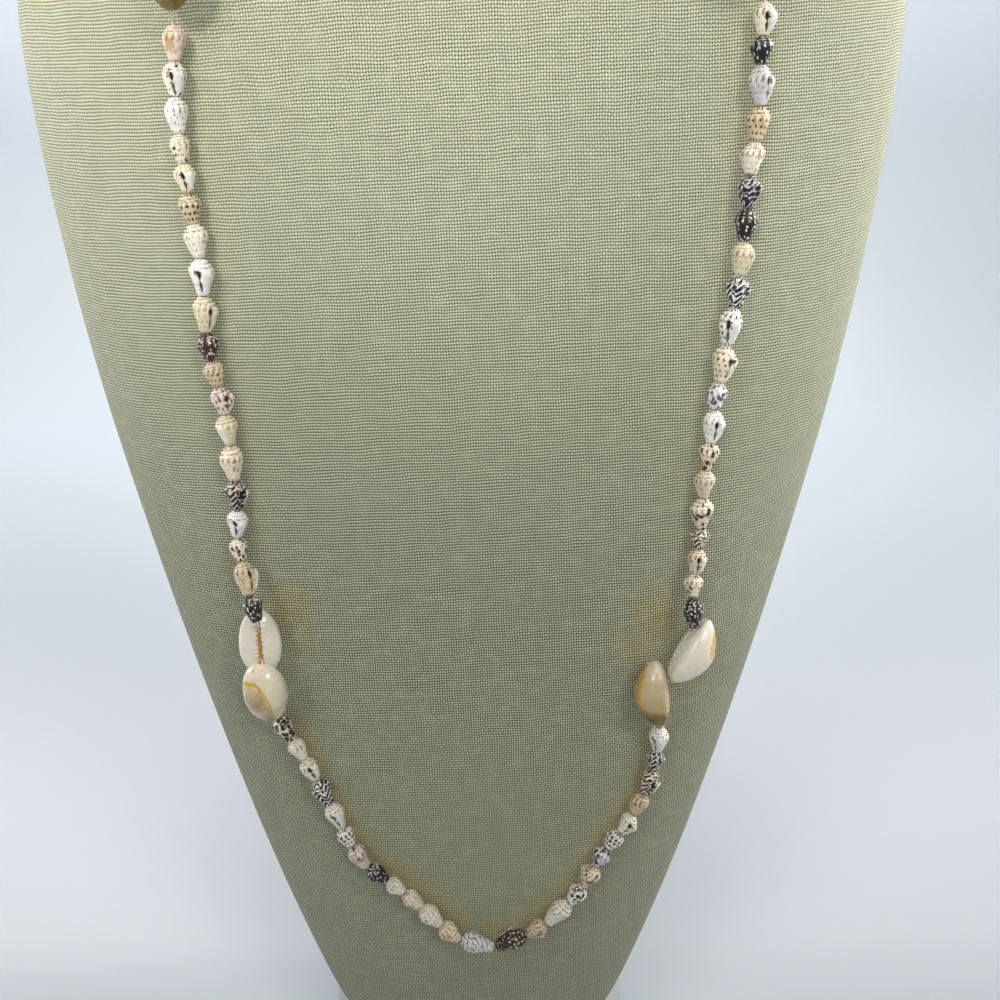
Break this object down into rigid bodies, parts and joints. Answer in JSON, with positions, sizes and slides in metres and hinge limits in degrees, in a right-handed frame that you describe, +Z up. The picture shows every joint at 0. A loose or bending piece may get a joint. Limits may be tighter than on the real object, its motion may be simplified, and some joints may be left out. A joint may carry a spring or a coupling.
{
  "type": "cowrie shell necklace on a neck bust",
  "caption": "Long necklace of small spotted dove shells and ring cowries on one thread, hanging over a linen-covered neck bust on a round base.",
  "frame": {"origin": "middle of the base disc's underside, on the table", "axes": "+Z up along the bust's height, the chest with the necklace's front faces -Y, +X to the viewer's right"},
  "size_m": [0.24, 0.1102, 0.46],
  "materials": {
    "linen": "coarse plain-woven linen, sage beige",
    "base": "painted smooth, pale",
    "thread": "waxed white cotton",
    "small_shell": "polished natural shell, cream, tan, black and white",
    "cowrie": "glossy natural shell, white to honey"
  },
  "bodies": {
    "root": {"bust_form": "linen", "base_disc": "base", "thread": "thread", "front_shells": "small_shell", "back_shells": "small_shell", "cowrie_left_upper": "cowrie", "cowrie_left_lower": "cowrie", "cowrie_right_upper": "cowrie", "cowrie_right_lower": "cowrie", "cowrie_left_shoulder_upper": "cowrie", "cowrie_left_shoulder_lower": "cowrie", "cowrie_right_shoulder_upper": "cowrie", "cowrie_right_shoulder_lower": "cowrie"}
  },
  "joints": []
}
